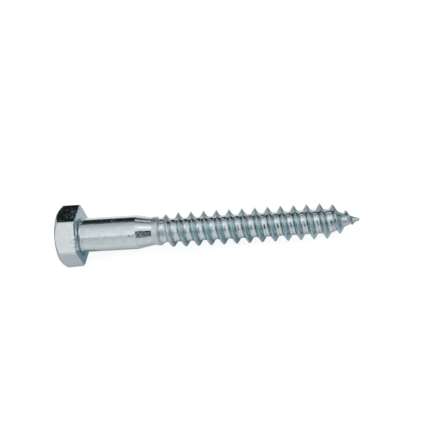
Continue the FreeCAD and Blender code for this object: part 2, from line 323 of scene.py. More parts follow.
pole = add_point((-K + 0.02, 0, 0))
prev = None
for i, row in enumerate(rows):
    x, r = row[0].copy(), row[1].copy()
    deg = deg_rows[i]
    if i < HEAD_ROWS:
        # dish on the disc, faint roll of the flats
        x += np.where(r < DISC_R - 0.3, 0.02 * (1 - (r / DISC_R) ** 2), 0.0)
        side = step(x, -K + 0.6, -K + 1.6) * step(r, 5.6, 6.2)
        r += side * 0.012 * wobble(x * 0.9, np.radians(deg), 3, 2, 3.0, True)
        r += 0.23 * fuller * np.clip(-x / K, 0.0, 1.0) * step(r, 5.6, 6.1)
        for na, nx, depth, wa, wx in NICKS:
            da = (deg - na + 180) % 360 - 180
            g = np.exp(-((da / wa) ** 2) - ((x - nx) / wx) ** 2) * step(r, 5.9, 6.3)
            r -= depth * g * 1.2
            x -= depth * g * 0.6
    ring = add_ring(x, r, deg)
    if prev is None:
        for j in range(FINE):
            faces.append((pole, int(ring[(j + 1) % FINE]), int(ring[j])))
    else:
        stitch(prev, ring)
    prev = ring

# ---------------------------------------------------------------- one column in three goes on
COARSE = FINE // 3
coarse_deg = even_deg[::3]
x_next = 6.2
ring = add_ring(np.full(COARSE, x_next), blank_radius(np.full(COARSE, x_next)), coarse_deg)
for i in range(COARSE):
    f0, f1, f2, f3 = (int(prev[(3 * i + k) % FINE]) for k in range(4))
    c0, c1 = int(ring[i]), int(ring[(i + 1) % COARSE])
    faces.append((f0, f1, c0))
    faces.append((f1, f2, c1, c0))
    faces.append((f2, f3, c1))
prev = ring
for x_here in (7.8, 9.4, 10.8, 11.4, 11.65, 11.8, 11.95, 12.1, 12.3, 12.6, 12.8, 12.95, 13.15, 13.3, 13.45,
               13.6, 13.75, 14.0, 14.4, 15.0, 15.6):
    xs = np.full(COARSE, x_here)
    ring = add_ring(xs, blank_radius(xs), coarse_deg)
    stitch(prev, ring)
    prev = ring
X_START = 15.6

# ---------------------------------------------------------------- thread: rows follow the helix
side_rows = [0.045, 0.10, 0.19]
N = COARSE
X_END = 64.72


def section_offsets(height):
    """Signed distances of the rows from a crest, for each height of the ridge (array)."""
    foot = 0.04 + np.maximum(height, 0.02) * FLANK
    foot = np.maximum(foot, 0.30)
    half_pitch = PITCH / 2
    pos = [np.zeros_like(height)]
    for s in side_rows:
        pos.append(np.minimum(np.full_like(height, s), foot * (s / 0.30)))
    pos.append(0.19 + (foot - 0.24 - 0.19) * 0.5 + 0 * foot)
    pos.append(foot - 0.24)
    pos.append(foot - 0.11)
    pos.append(foot + 0.0)
    pos.append(foot + 0.12)
    pos.append(foot + 0.27)
    pos.append((foot + 0.27) * 0.5 + half_pitch * 0.5)
    # keep the order where the ridge is low
    low = height < 0.75
    even = [half_pitch * (k / 11.0) ** 1.15 for k in range(11)]
    pos = [np.where(low, e, p) for e, p in zip(even, pos)]
    return pos, half_pitch


turn_first = int(math.floor((X_START - 2 * PITCH - CREST_X) / PITCH))
turn_last = int(math.ceil((X_END + 2 * PITCH - CREST_X) / PITCH))
M = 22
grid_x = {}
grid_r = {}
n_turns = turn_last - turn_first + 1
GX = np.zeros((n_turns * M, N))
GR = np.zeros((n_turns * M, N))
for t in range(n_turns):
    n = turn_first + t
    turn_deg = coarse_deg + 360.0 * n
    centre = crest_centre(turn_deg)
    height = table(centre, CREST) - blank_radius(centre)
    # the choice of spacing turns over smoothly between low and full ridges
    blend = step(height, 0.25, 0.85)
    foot = np.clip(0.04 + np.maximum(height, 0.0) * FLANK, 0.50, 1.2)
    hp = PITCH / 2
    full = [0 * foot, 0.045 + 0 * foot, 0.10 + 0 * foot, 0.18 + 0 * foot,
            0.18 + (foot - 0.40) * 0.5, foot - 0.22, foot - 0.10, foot + 0.02, foot + 0.14,
            foot + 0.29, (foot + 0.29 + hp) * 0.5]
    even = [hp * k / 11.0 for k in range(11)]
    pos = [e * (1 - blend) + f * blend for e, f in zip(even, full)]
    offsets = [-hp + 0 * foot] + [-p for p in pos[:0:-1]] + pos
    for m, s in enumerate(offsets):
        x = centre + s
        GX[t * M + m] = x
        GR[t * M + m] = thread_radius(x, turn_deg)

# The half-way rows belong to two neighbouring ridges: the higher of both surfaces counts.
for t in range(n_turns):
    n = turn_first + t
    x = GX[t * M]
    before = thread_radius(x, coarse_deg + 360.0 * (n - 1))
    GR[t * M] = np.maximum(GR[t * M], before)

inside = (GX > X_START + 0.16) & (GX < X_END - 0.05)
base = sum(len(v) for v in verts)
ids = -np.ones(GX.shape, int)
ids[inside] = base + np.arange(inside.sum())
a = np.radians(np.broadcast_to(coarse_deg, GX.shape))
verts.append(
    np.stack([GX, -GR * np.sin(a), GR * np.cos(a)], axis=-1)[inside]
)

start_ring = prev
xs = np.full(N, X_END)
# radius of the end ring, from the turn whose crest is nearest
turn = np.round((X_END - CREST_X) / PITCH * 1.0 - (coarse_deg - CREST_ANGLE) / 360.0)
end_r = thread_radius(xs, coarse_deg + 360.0 * turn)
end_ring = add_ring(xs, end_r, coarse_deg)


def column(i):
    """Vertices of column i from the start ring to the end ring, as (row key, vertex)."""
    wrap = M if i == N else 0
    c = i % N
    rows_here = np.nonzero(inside[:, c])[0]
    return [(r - wrap, int(ids[r, c])) for r in rows_here], int(start_ring[c]), int(end_ring[c])


for i in range(N):
    left, left_start, left_end = column(i)
    right, right_start, right_end = column(i + 1)
    L = dict(left)
    R = dict(right)
    keys = [k for k, _ in left if k in R]
    k0, k1 = keys[0], keys[-1]
    for k in range(k0, k1):
        faces.append((L[k], R[k], R[k + 1], L[k + 1]))
    # start: rows that only one side has, then the ring
    if k0 - 1 in R:
        faces.append((L[k0], R[k0 - 1], R[k0]))
        faces.append((left_start, right_start, R[k0 - 1], L[k0]))
    elif k0 - 1 in L:
        faces.append((L[k0 - 1], R[k0], L[k0]))
        faces.append((left_start, right_start, R[k0], L[k0 - 1]))
    else:
        faces.append((left_start, right_start, R[k0], L[k0]))
    if k1 + 1 in L:
        faces.append((L[k1], R[k1], L[k1 + 1]))
        faces.append((L[k1 + 1], R[k1], right_end, left_end))
    elif k1 + 1 in R:
        faces.append((L[k1], R[k1], R[k1 + 1]))
        faces.append((L[k1], R[k1 + 1], right_end, left_end))
    else:
        faces.append((L[k1], R[k1], right_end, left_end))

# ---------------------------------------------------------------- blunt end of the point
prev = end_ring
end_blank = float(blank_radius(np.array([X_END]))[0])
for x_here, r_here, keep in (
    (64.86, 0.39, 0.5), (64.95, 0.355, 0.2), (65.02, 0.31, 0.0), (65.07, 0.24, 0.0), (65.095, 0.13, 0.0),
):
    rr = r_here + (end_r - end_blank) * keep
    ring = add_ring(np.full(N, x_here), rr, coarse_deg)
    stitch(prev, ring)
    prev = ring
tip = add_point((LENGTH, 0, 0))
for i in range(N):
    faces.append((int(prev[i]), int(prev[(i + 1) % N]), tip))

local = np.concatenate(verts)
points = to_world(local)
mesh = bpy.data.meshes.new("lag_screw_body")
mesh.from_pydata(points.tolist(), [], faces)
mesh.validate(verbose=False)
mesh.update()
mesh.shade_smooth()
body = bpy.data.objects.new("lag_screw_body", mesh)
bpy.context.scene.collection.objects.link(body)

# ---------------------------------------------------------------- painted shade and finish marks on the mesh
# A colour attribute carries painted shade and how the plating differs from place to place: red is
# painted shade in corners, creases, nicks and pits and on parts that face away from the light, and a
# faint uneven tone on the struck top face; green is painted bluish shade on the lower rolled flanks;
# blue is where it is matt, and alpha is how strong its grain is: the drawn cone is smoother.


def bell(v, width):
    return np.exp(-((v / width) ** 2))


px = local[:, 0]
pr = np.hypot(local[:, 1], local[:, 2])
pa = np.degrees(np.arctan2(-local[:, 1], local[:, 2]))
uneven = wobble(px * 2.2, np.radians(pa), 21, 3, 4.0, True)

# red channel: painted shade, gathered mark by mark below
dark = np.zeros(len(px))
# painted shade in the corner between the bearing face and the shank
corner = step(-pr, -5.10, -4.62) * step(px, -0.5, -0.2) * (1 - step(px, 0.06, 0.36))
corner = corner * step(np.cos(np.radians(pa - 100.0)), 0.10, 0.50)
dark = np.maximum(dark, corner * (0.62 + 0.16 * uneven))
# painted shade along the top of the underhead fillet
fillet = step(-pr, -4.6, -4.4) * step(px, 0.02, 0.10) * (1 - step(px, 0.40, 0.60))
dark = np.maximum(dark, fillet * 0.38 * bell(pa + 6.0, 26.0))
# painted shade along the bearing-side edge of the front flat, in beads as the trimming die leaves them, and
# painted shade in the nicks
edge = step(pr, 6.02, 6.2) * step(px, -0.34, -0.16) * step(pa, 31, 34) * (1 - step(pa, 55.5, 58.5))
dark = np.maximum(dark, edge * (0.62 + 0.24 * np.sin(np.radians(pa) * 117.0) + 0.15 * uneven))
for na, nx, depth, wa, wx in NICKS:
    da = (pa - na + 180) % 360 - 180
    dark = np.maximum(dark, min(0.9, depth * 6.0) * bell(da, wa * 1.05) * bell(px - nx, wx) * step(pr, 5.9, 6.3))
# a few small pits in line on the shank before the cone, drawn only as painted shade
for pit_x, pit_deg, deep in ((11.92, 65.2, 0.90), (12.16, 68.0, 0.80), (12.96, 65.4, 0.58)):
    dark = np.maximum(dark, deep * bell(pa - pit_deg, 2.6) * bell(px - pit_x, 0.19))

# painted shade along the lowest corner of the hexagon
low = bell(pa - 150.0, 2.6) * step(px, -4.4, -3.9) * step(pr, 6.6, 7.0)
dark = np.maximum(dark, 0.30 * low)

# thread: painted shade at the feet of both flanks, and painted bluish shade on the lower flanks
turns = np.round((px - CREST_X) / PITCH - (pa - CREST_ANGLE) / 360.0)
unwound = pa + 360.0 * turns
mid = crest_centre(unwound)
off = px - mid
tall = table(mid, CREST) - blank_radius(mid)
foot = 0.04 + np.maximum(tall, 0.0) * FLANK
ridged = step(tall, 0.30, 0.80) * step(px, 18.6, 20.0)
lower = np.cos(np.radians(pa - 130.0))
far = step(px, 34.0, 44.0)
lines = (0.44 + 0.14 * far) * bell(off + foot - 0.21, 0.14)
lines = lines + (0.36 + 0.06 * far) * bell(off - foot + 0.12, 0.15) * step(lower, -0.10, 0.30)
reach = step(lower, -0.24 - 0.45 * far, 0.03 - 0.35 * far)
dark = np.maximum(dark, ridged * reach * lines * (1.0 + 0.35 * uneven))
flank = ridged * (1 - step(np.abs(off), foot - 0.16, foot + 0.02)) * step(lower, -0.05, 0.40)
flank = flank * step(px, 20.5, 23.0) * (1 - 0.55 * step(px, 45.0, 53.0))
# painted bluish shade on the front of the flanks half way along the thread
bluer = bell(px - 39.0, 8.0) * step(off, -0.05, 0.15) * (1 - step(off, foot - 0.2, foot)) * step(pa, 70, 92)
dark = np.maximum(dark, ridged * 0.24 * bluer)
# painted shade along the ridge's upper side, and towards the point along its lower left side
on_ridge = ridged * (1 - step(np.abs(off), foot - 0.05, foot + 0.15))
dark = np.maximum(dark, on_ridge * bell(pa + 4.0, 16.0) * (0.30 + 0.14 * far))
late = step(px, 43.0, 50.0) * (1 - step(px, 59.0, 61.0))
below = bell(pa - 134.0, 19.0) * late * (1 - step(off, 0.05, 0.30) * (1 - step(off, foot, foot + 0.3)))
dark = np.maximum(dark, ridged * 0.38 * below)
# small pits in the middle of the roots, on the upper front side, drawn only as painted shade
half_way = np.abs(np.abs(off) - PITCH / 2)
jitter = 2.4 * np.sin(7.3 * turns + 1.3)
pit = bell(pa - 55.0 - jitter, 2.6) * bell(half_way - 0.05 * np.sin(3.1 * turns), 0.13)
dark = np.maximum(dark, step(px, 21.0, 22.5) * ridged * pit * (0.37 + 0.13 * np.sin(5.1 * turns)))
# the struck top face of the head is a little uneven
struck = (1 - step(px, -K + 0.05, -K + 0.12)) * (1 - step(pr, 5.6, 6.0))
blots = wobble(local[:, 1] * 1.1, local[:, 2] * 1.1, 31, 3, 1.4)
dark = np.maximum(dark, struck * (0.07 + 0.07 * blots))
dark = np.clip(dark, 0.0, 0.85)
# one deeper pit at the start of the point, drawn only as painted shade
dark = np.maximum(dark, 0.92 * np.minimum(1.0, 1.4 * bell(pa - 61.0, 8.0) * bell(px - 58.64, 0.28)))

# the rolled start of the thread is matt, from a sharp line at the end of the cone
start_line = np.where(turns < -1.5, off - 0.75 * step(-unwound, 590.0, 750.0), 9.0)
matt = step(px, 17.05, 17.2) * (1 - step(start_line, 0.35, 0.75))
# painted shade on the collar's flank towards the point, where the thread starts
shoulder = bell(start_line - 0.42, 0.30) * step(px, 17.2, 17.5)
dark = np.maximum(dark, 0.26 * shoulder)

marks = mesh.color_attributes.new("painted_shade_and_finish_marks", "FLOAT_COLOR", "POINT")
grainy = 1 - 0.90 * step(px, 12.9, 13.6) * (1 - step(px, 16.9, 17.2))
values = np.stack([dark, flank, matt, grainy], axis=1)
marks.data.foreach_set("color", values.astype(np.float32).ravel())

# Outward faces: the signed volume must be positive.
import bmesh

bm = bmesh.new()
bm.from_mesh(mesh)
volume = bm.calc_volume(signed=True)
if volume < 0:
    bmesh.ops.reverse_faces(bm, faces=bm.faces)
    bm.to_mesh(mesh)
open_edges = sum(1 for e in bm.edges if len(e.link_faces) != 2)
print("screw mesh: %d faces, volume %.1f mm3, open edges %d" % (len(bm.faces), volume * 1e9, open_edges))
bm.free()


# --------------------------------------------------------------------------------------------
# Material: bright zinc with a faint blue passivate
# --------------------------------------------------------------------------------------------
def zinc():
    m = bpy.data.materials.new("bright_zinc")
    m.use_nodes = True
    nt = m.node_tree
    nt.nodes.clear()
    out = nt.nodes.new("ShaderNodeOutputMaterial")
    p = nt.nodes.new("ShaderNodeBsdfPrincipled")
    nt.links.new(p.outputs["BSDF"], out.inputs["Surface"])
    p.inputs["Metallic"].default_value = 1.0
    coord = nt.nodes.new("ShaderNodeTexCoord")

    def noise(scale, detail=3.0, rough=0.55, stretch=None, w=None):
        n = nt.nodes.new("ShaderNodeTexNoise")
        n.inputs["Scale"].default_value = scale
        n.inputs["Detail"].default_value = detail
        n.inputs["Roughness"].default_value = rough
        if stretch:
            mp = nt.nodes.new("ShaderNodeMapping")
            mp.inputs["Scale"].default_value = stretch
            nt.links.new(coord.outputs["Object"], mp.inputs["Vector"])
            nt.links.new(mp.outputs["Vector"], n.inputs["Vector"])
        else:
            nt.links.new(coord.outputs["Object"], n.inputs["Vector"])
        return n

    def ramp(src, stops):
        r = nt.nodes.new("ShaderNodeValToRGB")
        r.color_ramp.interpolation = "LINEAR"
        el = r.color_ramp.elements
        el[0].position, el[0].color = stops[0][0], (*stops[0][1], 1)
        el[1].position, el[1].color = stops[-1][0], (*stops[-1][1], 1)
        for pos, col in stops[1:-1]:
            e = el.new(pos)
            e.color = (*col, 1)
        nt.links.new(src, r.inputs["Fac"])
        return r

    def maprange(src, a, b, c, d):
        n = nt.nodes.new("ShaderNodeMapRange")
        n.inputs["From Min"].default_value = a
        n.inputs["From Max"].default_value = b
        n.inputs["To Min"].default_value = c
        n.inputs["To Max"].default_value = d
        nt.links.new(src, n.inputs["Value"])
        return n

    # passivate tint: slow clouds between silver, blue and a touch of lilac
    clouds = noise(260.0, 4.0, 0.6)
    tint = ramp(
        clouds.outputs["Fac"],
        [(0.30, (0.722, 0.832, 0.862)), (0.50, (0.742, 0.836, 0.866)), (0.70, (0.748, 0.832, 0.876))],
    )
    marked = nt.nodes.new("ShaderNodeAttribute")
    marked.attribute_name = "painted_shade_and_finish_marks"
    split = nt.nodes.new("ShaderNodeSeparateColor")
    nt.links.new(marked.outputs["Color"], split.inputs["Color"])

    def darken(src, fac, colour):
        n = nt.nodes.new("ShaderNodeMix")
        n.data_type = "RGBA"
        n.blend_type = "MULTIPLY"
        n.inputs[7].default_value = (*colour, 1)
        nt.links.new(fac, n.inputs[0])
        nt.links.new(src, n.inputs[6])
        return n.outputs[2]

    # painted bluish shade on the lower flanks (green), then painted shade from the red channel
    blued = darken(tint.outputs["Color"], split.outputs["Green"], (0.84, 0.93, 0.96))
    shaded = darken(blued, split.outputs["Red"], (0.0, 0.10, 0.14))
    fine = noise(3800.0, 2.0, 0.6)
    speck = maprange(fine.outputs["Fac"], 0.40, 0.62, 0.0, 1.0)
    shaded = darken(shaded, speck.outputs["Result"], (0.90, 0.905, 0.91))
    middling = noise(1050.0, 3.0, 0.6)
    cloudy = maprange(middling.outputs["Fac"], 0.36, 0.64, 0.0, 1.0)
    shaded = darken(shaded, cloudy.outputs["Result"], (0.945, 0.948, 0.95))
    nt.links.new(shaded, p.inputs["Base Color"])

    # roughness: fine crystalline mottling over larger patches
    grain = noise(2600.0, 5.0, 0.65)
    patch = noise(500.0, 3.0, 0.5)
    mix = nt.nodes.new("ShaderNodeMath")
    mix.operation = "MULTIPLY"
    nt.links.new(grain.outputs["Fac"], mix.inputs[0])
    nt.links.new(patch.outputs["Fac"], mix.inputs[1])
    rough = maprange(mix.outputs["Value"], 0.23, 0.38, 0.05, 0.34)
    satin = nt.nodes.new("ShaderNodeMath")
    satin.operation = "MULTIPLY_ADD"
    satin.inputs[1].default_value = 0.30
    nt.links.new(split.outputs["Blue"], satin.inputs[0])
    nt.links.new(rough.outputs["Result"], satin.inputs[2])
    nt.links.new(satin.outputs["Value"], p.inputs["Roughness"])

    # bump: plating grain, then soft dents
    relief = nt.nodes.new("ShaderNodeMath")
    relief.operation = "MULTIPLY"
    relief.inputs[1].default_value = 0.5
    nt.links.new(marked.outputs["Alpha"], relief.inputs[0])
    b1 = nt.nodes.new("ShaderNodeBump")
    nt.links.new(relief.outputs["Value"], b1.inputs["Strength"])
    b1.inputs["Distance"].default_value = 0.00002
    nt.links.new(grain.outputs["Fac"], b1.inputs["Height"])
    dents = noise(900.0, 2.0, 0.5)
    b2 = nt.nodes.new("ShaderNodeBump")
    nt.links.new(relief.outputs["Value"], b2.inputs["Strength"])
    b2.inputs["Distance"].default_value = 0.00004
    nt.links.new(dents.outputs["Fac"], b2.inputs["Height"])
    nt.links.new(b1.outputs["Normal"], b2.inputs["Normal"])
    nt.links.new(b2.outputs["Normal"], p.inputs["Normal"])
    return m


body.data.materials.append(zinc())
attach(body, "root")
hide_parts("lag_screw")


# --------------------------------------------------------------------------------------------
# Camera: position and lens from the outline of the screw in the reference view
# --------------------------------------------------------------------------------------------
FOCAL_PX = 844.4
PSI, GAMMA, ROLL = 0.102444, 0.0580127, 0.0809004
PLACE = np.array([-4.197878, 0.332982, 25.058852]) * 8.0  # bearing face centre: right, down, away
axis = np.array([
    math.cos(PSI) * math.cos(GAMMA), -math.cos(PSI) * math.sin(GAMMA), -math.sin(PSI),
])
up = np.array([0.0, -1.0, 0.0])
up -= axis * (up @ axis)
up /= np.linalg.norm(up)
near = np.cross(axis, up)
corner_dir = math.cos(ROLL) * up + math.sin(ROLL) * near
other_dir = -math.sin(ROLL) * up + math.cos(ROLL) * near
c30, s30 = math.cos(math.radians(30)), math.sin(math.radians(30))
flat_up = c30 * corner_dir + s30 * other_dir
across = s30 * corner_dir - c30 * other_dir
local_to_view = np.eye(4)
local_to_view[:3, :3] = np.stack([axis, across, flat_up], axis=1)
local_to_view[:3, 3] = PLACE
c, s = math.cos(DIP), math.sin(DIP)
local_to_world = np.array([
    [c, 0, s, SHIFT_X], [0, 1, 0, 0], [-s, 0, c, LIFT], [0, 0, 0, 1.0],
])
view_to_world = local_to_world @ np.linalg.inv(local_to_view)
view_to_world[:3, 3] /= 1000.0
cam_matrix = view_to_world @ np.diag([1.0, -1.0, -1.0, 1.0])
cam_data = bpy.data.cameras.new("camera")
cam_data.sensor_fit = "HORIZONTAL"
cam_data.sensor_width = 36.0
cam_data.lens = FOCAL_PX * 36.0 / 448.0
cam_data.clip_start = 0.005
cam_data.clip_end = 50.0
camera = bpy.data.objects.new("camera", cam_data)
camera.matrix_world = Matrix(cam_matrix.tolist())
bpy.context.scene.collection.objects.link(camera)
bpy.context.scene.camera = camera
eye = cam_matrix[:3, 3]
print("camera at", [round(float(v), 4) for v in eye])


# --------------------------------------------------------------------------------------------
# Stage: pale floor and soft light
# --------------------------------------------------------------------------------------------
def glow(name, color, emission, albedo):
    """Matt surface that also shines a little, so that it stays pale under any light."""
    m = bpy.data.materials.new(name)
    m.use_nodes = True
    p = m.node_tree.nodes["Principled BSDF"]
    p.inputs["Base Color"].default_value = (albedo, albedo, albedo, 1)
    p.inputs["Roughness"].default_value = 1.0
    p.inputs["Specular IOR Level"].default_value = 0.0
    p.inputs["Emission Color"].default_value = (*color, 1)
    p.inputs["Emission Strength"].default_value = emission
    return m


def slab(name, corners, material):
    mesh = bpy.data.meshes.new(name)
    mesh.from_pydata([tuple(c) for c in corners], [], [(0, 1, 2, 3)])
    obj = bpy.data.objects.new(name, mesh)
    obj.data.materials.append(material)
    bpy.context.scene.collection.objects.link(obj)
    return obj


floor = slab("floor", [(-6, -6, 0), (6, -6, 0), (6, 6, 0), (-6, 6, 0)],
             glow("floor_white", (1, 1, 1), 0.86, 0.34))
floor.visible_glossy = False

# A dark upright card under and around the camera: the bright metal mirrors it in the cone and in
# the roots of the thread. Two paler strips on it stand for the stand's crossbars.
right = np.array(cam_matrix[:3, 0])
right[2] = 0.0
right /= np.linalg.norm(right)
mid = np.array([eye[0], eye[1], 0.0])


def card_strip(name, left_mm, right_mm, low_mm, high_mm, level, forward=0.0):
    front = mid * (1.0 - forward)
    l, r = front + right * left_mm / 1000, front + right * right_mm / 1000
    corners = [(*l[:2], low_mm / 1000), (*r[:2], low_mm / 1000),
               (*r[:2], high_mm / 1000), (*l[:2], high_mm / 1000)]
    obj = slab(name, corners, glow(name, (0.85, 1.0, 1.05), level, 0.0))
    obj.visible_camera = False
    obj.visible_diffuse = False
    obj.visible_shadow = False
    return obj


def mottle(obj, low, high):
    """Uneven light from a card, in blotches that are wider than tall in the mirror image."""
    t = obj.data.materials[0].node_tree
    place = t.nodes.new("ShaderNodeTexCoord")
    scaled = t.nodes.new("ShaderNodeMapping")
    scaled.inputs["Scale"].default_value = (260.0, 260.0, 34.0)
    cloth = t.nodes.new("ShaderNodeTexNoise")
    cloth.inputs["Scale"].default_value = 1.0
    cloth.inputs["Detail"].default_value = 2.0
    level = t.nodes.new("ShaderNodeMapRange")
    level.inputs["From Min"].default_value = 0.38
    level.inputs["From Max"].default_value = 0.62
    level.inputs["To Min"].default_value = low
    level.inputs["To Max"].default_value = high
    t.links.new(place.outputs["Object"], scaled.inputs["Vector"])
    t.links.new(scaled.outputs["Vector"], cloth.inputs["Vector"])
    t.links.new(cloth.outputs["Fac"], level.inputs["Value"])
    t.links.new(level.outputs["Result"], t.nodes["Principled BSDF"].inputs["Emission Strength"])


mottle(card_strip("card", -28, -10, -14, 140, 0.10), 0.04, 0.17)
mottle(card_strip("card_right", -10, -2, -10, 100, 0.12), 0.08, 0.20)
mottle(card_strip("card_top", -11, 8, 100, 142, 0.05), 0.00, 0.10)
mottle(card_strip("card_left", -34, -28, -12, 116, 0.26), 0.18, 0.34)
mottle(card_strip("card_bar", -31, -14, 42, 58, 0.22, 0.004), 0.16, 0.28)

# The pale table is darkest right under the screw; only mirror reflections see this strip.
under = glow("under_shade", (0.55, 0.92, 1.08), 0.22, 0.0)
ut = under.node_tree
where = ut.nodes.new("ShaderNodeNewGeometry")
axes = ut.nodes.new("ShaderNodeSeparateXYZ")
ut.links.new(where.outputs["Position"], axes.inputs["Vector"])


def soft_edge(src, lo, hi):
    n = ut.nodes.new("ShaderNodeMapRange")
    n.interpolation_type = "SMOOTHSTEP"
    n.inputs["From Min"].default_value = lo
    n.inputs["From Max"].default_value = hi
    ut.links.new(src, n.inputs["Value"])
    return n.outputs["Result"]


def times(a, b):
    n = ut.nodes.new("ShaderNodeMath")
    n.operation = "MULTIPLY"
    for i, v in enumerate((a, b)):
        if isinstance(v, float):
            n.inputs[i].default_value = v
        else:
            ut.links.new(v, n.inputs[i])
    return n.outputs["Value"]


# it reaches further forward below the head
ahead = ut.nodes.new("ShaderNodeMath")
ahead.operation = "MULTIPLY_ADD"
ahead.inputs[1].default_value = 0.0020
ut.links.new(soft_edge(axes.outputs["X"], -0.0262, -0.0284), ahead.inputs[0])
ut.links.new(axes.outputs["Y"], ahead.inputs[2])
# and less far forward below the cone and the neck
back_off = ut.nodes.new("ShaderNodeMath")
back_off.operation = "MULTIPLY_ADD"
back_off.inputs[1].default_value = -0.0018
ut.links.new(times(soft_edge(axes.outputs["X"], -0.0180, -0.0155), soft_edge(axes.outputs["X"], -0.0085, -0.0110)),
             back_off.inputs[0])
ut.links.new(ahead.outputs["Value"], back_off.inputs[2])
# and the table is pale again towards the point
pale = ut.nodes.new("ShaderNodeMix")
pale.data_type = "RGBA"
pale.inputs[6].default_value = (0.55, 0.92, 1.08, 1)
pale.inputs[7].default_value = (2.35, 2.60, 2.68, 1)
ut.links.new(soft_edge(axes.outputs["X"], 0.0110, 0.0250), pale.inputs[0])
ut.links.new(pale.outputs[2], ut.nodes["Principled BSDF"].inputs["Emission Color"])
cover = times(
    times(soft_edge(back_off.outputs["Value"], -0.0028, -0.0004), soft_edge(axes.outputs["Y"], 0.0095, 0.0050)),
    times(soft_edge(axes.outputs["X"], -0.0400, -0.0330), soft_edge(axes.outputs["X"], 0.0400, 0.0300)),
)
ut.links.new(times(cover, 0.85), ut.nodes["Principled BSDF"].inputs["Alpha"])
shade = slab("under_shade", [(-0.045, -0.012, 0.0002), (0.045, -0.012, 0.0002),
                             (0.045, 0.014, 0.0002), (-0.045, 0.014, 0.0002)], under)
shade.visible_camera = False
shade.visible_diffuse = False
shade.visible_shadow = False

# --------------------------------------------------------------------------------------------
# World: what the bright metal mirrors. A direction is given by its angle about the screw's axis
# (0 = level towards the camera side, 90 = overhead, 180 = level behind) and by how far it leans
# to the left or right end. Lamps' panels, the gap between them, the pale table and the backdrop.
# --------------------------------------------------------------------------------------------
world = bpy.data.worlds.new("studio")
bpy.context.scene.world = world
world.use_nodes = True
nt = world.node_tree
nt.nodes.clear()


def link(a, b):
    nt.links.new(a, b)


def math_node(op, a, b=None):
    n = nt.nodes.new("ShaderNodeMath")
    n.operation = op
    for i, v in enumerate((a, b)):
        if v is None:
            continue
        if isinstance(v, (int, float)):
            n.inputs[i].default_value = v
        else:
            link(v, n.inputs[i])
    return n.outputs["Value"]


def ease(src, lo, hi, to_lo=0.0, to_hi=1.0):
    n = nt.nodes.new("ShaderNodeMapRange")
    n.interpolation_type = "SMOOTHSTEP"
    n.inputs["From Min"].default_value = lo
    n.inputs["From Max"].default_value = hi
    n.inputs["To Min"].default_value = to_lo
    n.inputs["To Max"].default_value = to_hi
    link(src, n.inputs["Value"])
    return n.outputs["Result"]


def ramp(src, stops):
    """Stops (degrees, level or colour) over -180 to 180 degrees."""
    n = nt.nodes.new("ShaderNodeValToRGB")
    el = n.color_ramp.elements
    cols = []
    for deg, col in stops:
        if isinstance(col, (int, float)):
            col = (col, col, col)
        cols.append(((deg + 180.0) / 360.0, (*col, 1)))
    el[0].position, el[0].color = cols[0]
    el[1].position, el[1].color = cols[-1]
    for pos, col in cols[1:-1]:
        el.new(pos).color = col
    link(src, n.inputs["Fac"])
    return n.outputs["Color"]


def blend(fac, a, b):
    n = nt.nodes.new("ShaderNodeMix")
    n.data_type = "RGBA"
    link(fac, n.inputs[0])
    link(a, n.inputs[6])
    link(b, n.inputs[7])
    return n.outputs[2]


coord = nt.nodes.new("ShaderNodeTexCoord")
sep = nt.nodes.new("ShaderNodeSeparateXYZ")
link(coord.outputs["Generated"], sep.inputs["Vector"])
lean = sep.outputs["X"]
turn_about = math_node("ARCTAN2", sep.outputs["Z"], math_node("MULTIPLY", sep.outputs["Y"], -1.0))
fac = nt.nodes.new("ShaderNodeMapRange")
fac.inputs["From Min"].default_value = -math.pi
fac.inputs["From Max"].default_value = math.pi
link(turn_about, fac.inputs["Value"])
fac = fac.outputs["Result"]

LEFT_SKY = [
    (-180, 0.88), (-152, 0.82), (-142, 0.58), (-125, 0.50), (-97, (0.50, 0.51, 0.53)),
    (-82, (0.60, 0.61, 0.63)), (-60, 0.72), (-35, 0.79), (-8, 0.71), (4, 0.645), (8, 0.60),
    (12, 0.67), (16, 0.76), (19.5, (0.97, 0.93, 0.92)), (24, (1.07, 0.99, 0.98)),
    (32, (1.0, 0.93, 0.93)), (41, (0.97, 0.90, 0.90)), (50, 0.83), (62, 0.80), (74, 0.715),
    (86, 0.585), (97, 0.50), (105, 0.43), (108.5, 0.33), (112.5, 0.08), (117, (0.035, 0.05, 0.055)),
    (140, (0.006, 0.012, 0.013)), (149, 0.012), (154, 0.19), (158, 0.50), (164, 0.83), (172, 0.94),
]
MIDDLE_SKY = [
    (-180, 0.82), (-152, 0.80), (-142, 0.55), (-125, 0.50), (-97, 0.58), (-82, 0.67),
    (-60, 0.73), (-40, 0.73), (-15, 0.66), (20, 0.66), (44, 0.79), (55, 0.94),
    (62, 1.12), (69, 1.22), (73, 1.04), (80, 0.74), (88, 0.67), (95, 0.53), (99.5, 0.42),
    (102, 0.18), (108, 0.18), (113, 0.26), (118, 0.50), (122.5, 0.90), (126.5, 0.46),
    (130, (0.06, 0.075, 0.08)), (143, (0.05, 0.065, 0.07)), (149, 0.30), (153, 0.62), (162, 0.80),
    (170, 0.84),
]
SIDE_SKY = [
    (-180, (0.28, 0.33, 0.36)), (-155, (0.30, 0.35, 0.38)), (-130, (0.38, 0.44, 0.47)),
    (-110, (0.45, 0.49, 0.51)), (-90, 0.52), (-75, 0.54), (-60, 0.58), (-20, 0.56), (8, 0.58),
    (22, 0.66), (37, 0.76), (50, 0.88), (65, 0.92), (75, 0.80), (90, 0.64), (100, 0.52),
    (112, 0.42), (127, (0.31, 0.34, 0.36)), (142, (0.26, 0.30, 0.32)), (165, (0.29, 0.33, 0.36)),
]
